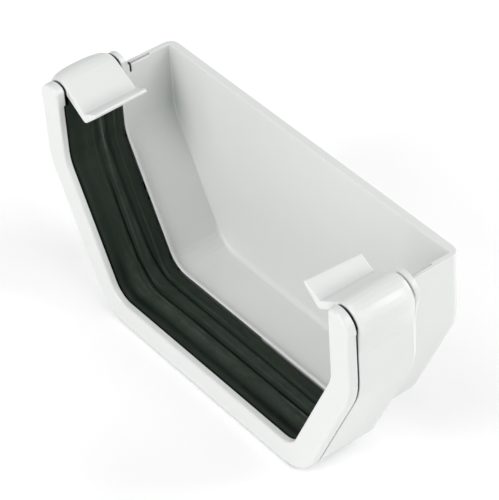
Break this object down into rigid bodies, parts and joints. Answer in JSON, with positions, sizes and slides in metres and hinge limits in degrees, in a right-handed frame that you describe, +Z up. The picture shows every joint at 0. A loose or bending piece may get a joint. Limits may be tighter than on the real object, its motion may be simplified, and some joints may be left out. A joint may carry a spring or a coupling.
{
  "type": "gutter stop end",
  "caption": "White plastic stop end for a square-line roof gutter: a sealed socket with two snap clips, stepped down to a closed, open-topped trough.",
  "frame": {"origin": "middle of the part's footprint, on the underside of the socket", "axes": "+X across the gutter, -Y out of the socket's open mouth, +Y towards the end plate, +Z up"},
  "size_m": [0.1346, 0.0404, 0.07],
  "materials": {
    "white_pvc": "gloss",
    "seal_rubber": "matte"
  },
  "bodies": {
    "root": {"stop_end_body": "white_pvc", "rubber_seal": "seal_rubber"}
  },
  "joints": []
}
